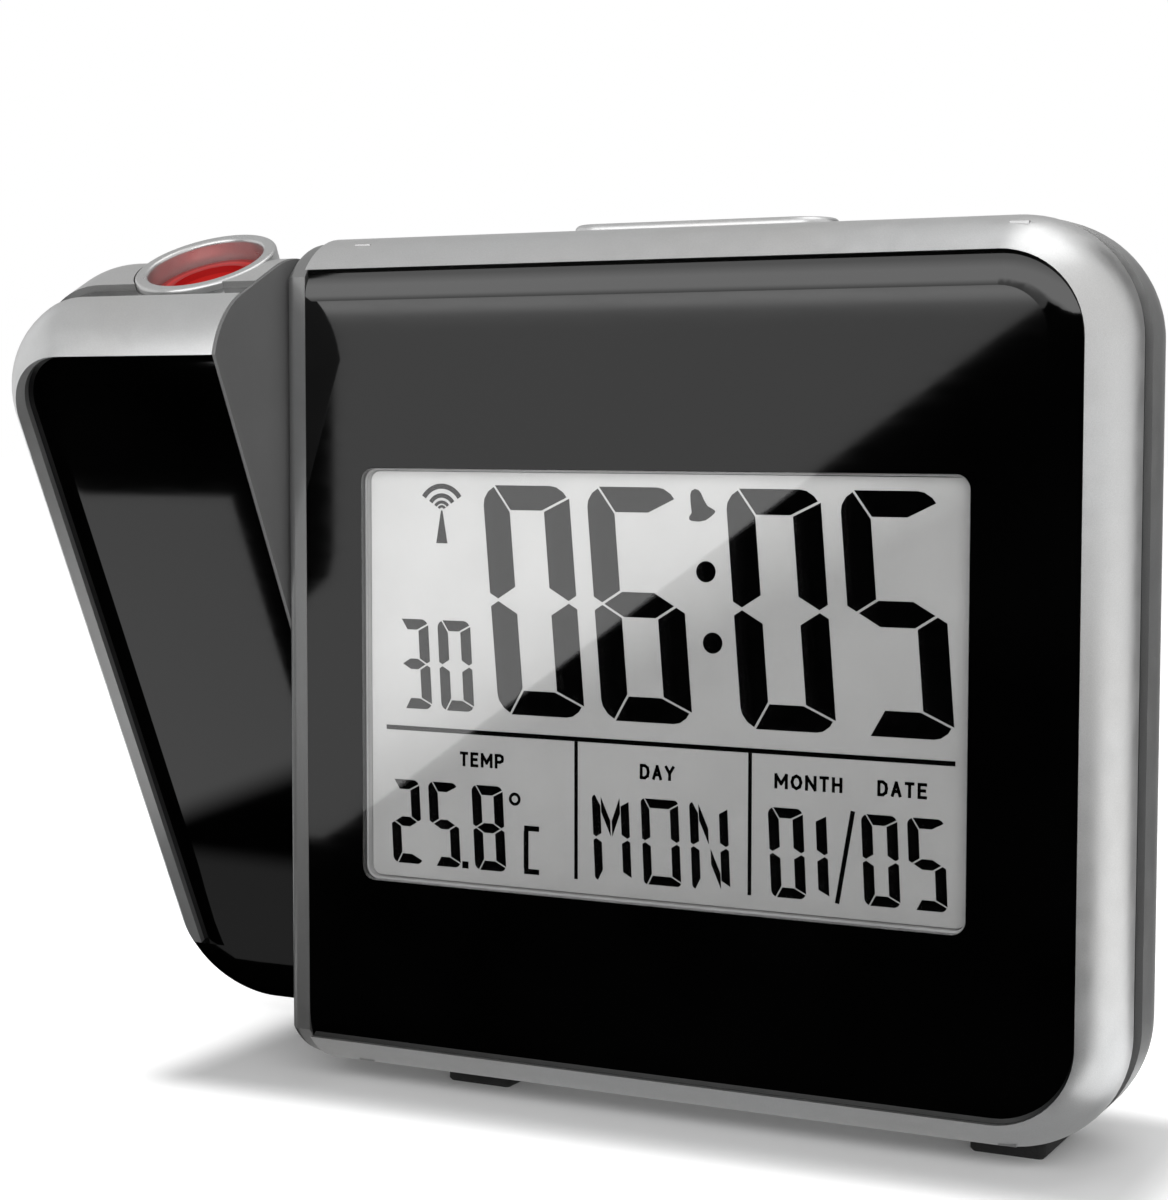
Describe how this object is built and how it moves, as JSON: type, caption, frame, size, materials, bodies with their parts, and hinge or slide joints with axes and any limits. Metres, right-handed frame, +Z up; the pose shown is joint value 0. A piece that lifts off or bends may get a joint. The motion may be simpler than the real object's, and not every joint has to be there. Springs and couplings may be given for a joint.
{
  "type": "projection alarm clock",
  "caption": "Desk alarm clock with a liquid crystal display in a gloss panel, a snooze bar on top and a tilting projector pod at the left end.",
  "frame": {"origin": "middle of the footprint at rest, on the table, under the rubber feet", "axes": "+X to the viewer's right along the width, +Y to the rear, +Z up"},
  "size_m": [0.1334, 0.0618, 0.101],
  "materials": {
    "silver_shell": "satin silver",
    "end_trim": "satin grey",
    "black_gloss": "polished",
    "clear_window": "polished",
    "pale_frame": "satin",
    "lcd": "polished",
    "light_sheet": "satin",
    "connector_rubber": "matt",
    "foot_rubber": "matt",
    "board": "satin",
    "screw_steel": "plated",
    "spring_steel": "plated",
    "black_band": "satin",
    "black_part": "satin",
    "cover_grey": "satin",
    "shaft_plastic": "satin",
    "key_silver": "satin silver",
    "ring_silver": "satin silver",
    "barrel_black": "satin",
    "tube_black": "matt",
    "lamp_red": "clear",
    "lens": "polished",
    "small_lcd": "polished",
    "cell": "plain sleeve"
  },
  "bodies": {
    "main_unit": {"front_bezel": "silver_shell", "rear_housing": "silver_shell", "end_plate": "end_trim", "front_panel": "black_gloss", "display_window": "clear_window", "display_frame": "pale_frame", "lcd_glass": "lcd", "light_guide": "light_sheet", "zebra_strips": "connector_rubber", "feet": "foot_rubber", "main_board": "board", "snooze_board": "board", "key_board": "board", "board_screws": "screw_steel", "case_screws": "screw_steel", "battery_contacts": "spring_steel", "friction_washer": "spring_steel", "shadow_band": "black_band", "key_switches": "black_part", "slide_switch_body": "black_part", "dc_socket": "black_part", "buzzer": "black_part", "shaft_bush": "black_part", "battery_lower": "cell", "battery_upper": "cell"},
    "pod": {"pod_bezel": "silver_shell", "pod_panel": "black_gloss", "pod_band": "black_band", "pod_rear_housing": "silver_shell", "pod_screws": "screw_steel", "pod_inner_cover": "cover_grey", "pod_shaft": "shaft_plastic", "retaining_clip": "spring_steel", "light_tube": "tube_black", "led_board": "board", "red_led": "lamp_red", "condenser_lens": "lens", "projection_lcd": "small_lcd"},
    "focus_ring_body": {"focus_ring": "ring_silver"},
    "barrel_body": {"lens_barrel": "barrel_black", "objective_lens": "lens"},
    "snooze_body": {"snooze_bar": "key_silver"},
    "switch_body": {"slide_switch_knob": "black_part"},
    "door_body": {"battery_door": "silver_shell"},
    "key_1_body": {"rear_key_1": "key_silver"},
    "key_2_body": {"rear_key_2": "key_silver"},
    "key_3_body": {"rear_key_3": "key_silver"},
    "key_4_body": {"rear_key_4": "key_silver"},
    "key_5_body": {"rear_key_5": "key_silver"}
  },
  "joints": [
    {"name": "pod_tilt", "type": "hinge", "parent": "main_unit", "child": "pod", "pos_m": [-0.03232, -0.00252, 0.0623], "axis": [1, 0, 0], "range_deg": [-115.9, 64.1]},
    {"name": "focus_turn", "type": "hinge", "parent": "pod", "child": "focus_ring_body", "pos_m": [-0.04353, -0.01658, 0.09721], "axis": [0, -0.4368, 0.8996], "range_deg": [-90, 90]},
    {"name": "focus_slide", "type": "slide", "parent": "pod", "child": "barrel_body", "axis": [0, -0.4368, 0.8996], "range_m": [-0.001, 0.001]},
    {"name": "snooze_press", "type": "slide", "parent": "main_unit", "child": "snooze_body", "axis": [0, 0, -1], "range_m": [0, 0.0008], "stiffness_N_per_m": 400, "springref_m": -0.00004},
    {"name": "key_1_press", "type": "slide", "parent": "main_unit", "child": "key_1_body", "axis": [0, -1, 0], "range_m": [0, 0.0004], "stiffness_N_per_m": 500},
    {"name": "key_2_press", "type": "slide", "parent": "main_unit", "child": "key_2_body", "axis": [0, -1, 0], "range_m": [0, 0.0004], "stiffness_N_per_m": 500},
    {"name": "key_3_press", "type": "slide", "parent": "main_unit", "child": "key_3_body", "axis": [0, -1, 0], "range_m": [0, 0.0004], "stiffness_N_per_m": 500},
    {"name": "key_4_press", "type": "slide", "parent": "main_unit", "child": "key_4_body", "axis": [0, -1, 0], "range_m": [0, 0.0004], "stiffness_N_per_m": 500},
    {"name": "key_5_press", "type": "slide", "parent": "main_unit", "child": "key_5_body", "axis": [0, -1, 0], "range_m": [0, 0.0004], "stiffness_N_per_m": 500},
    {"name": "switch_slide", "type": "slide", "parent": "main_unit", "child": "switch_body", "axis": [1, 0, 0], "range_m": [-0.0015, 0.0015]},
    {"name": "door_hinge", "type": "hinge", "parent": "main_unit", "child": "door_body", "pos_m": [0.01487, 0.00978, 0.01435], "axis": [-1, 0, 0], "range_deg": [0, 75]}
  ],
  "couplings": [
    {"joint": "focus_turn", "follows": "focus_slide", "rad_per_m": 1570}
  ]
}
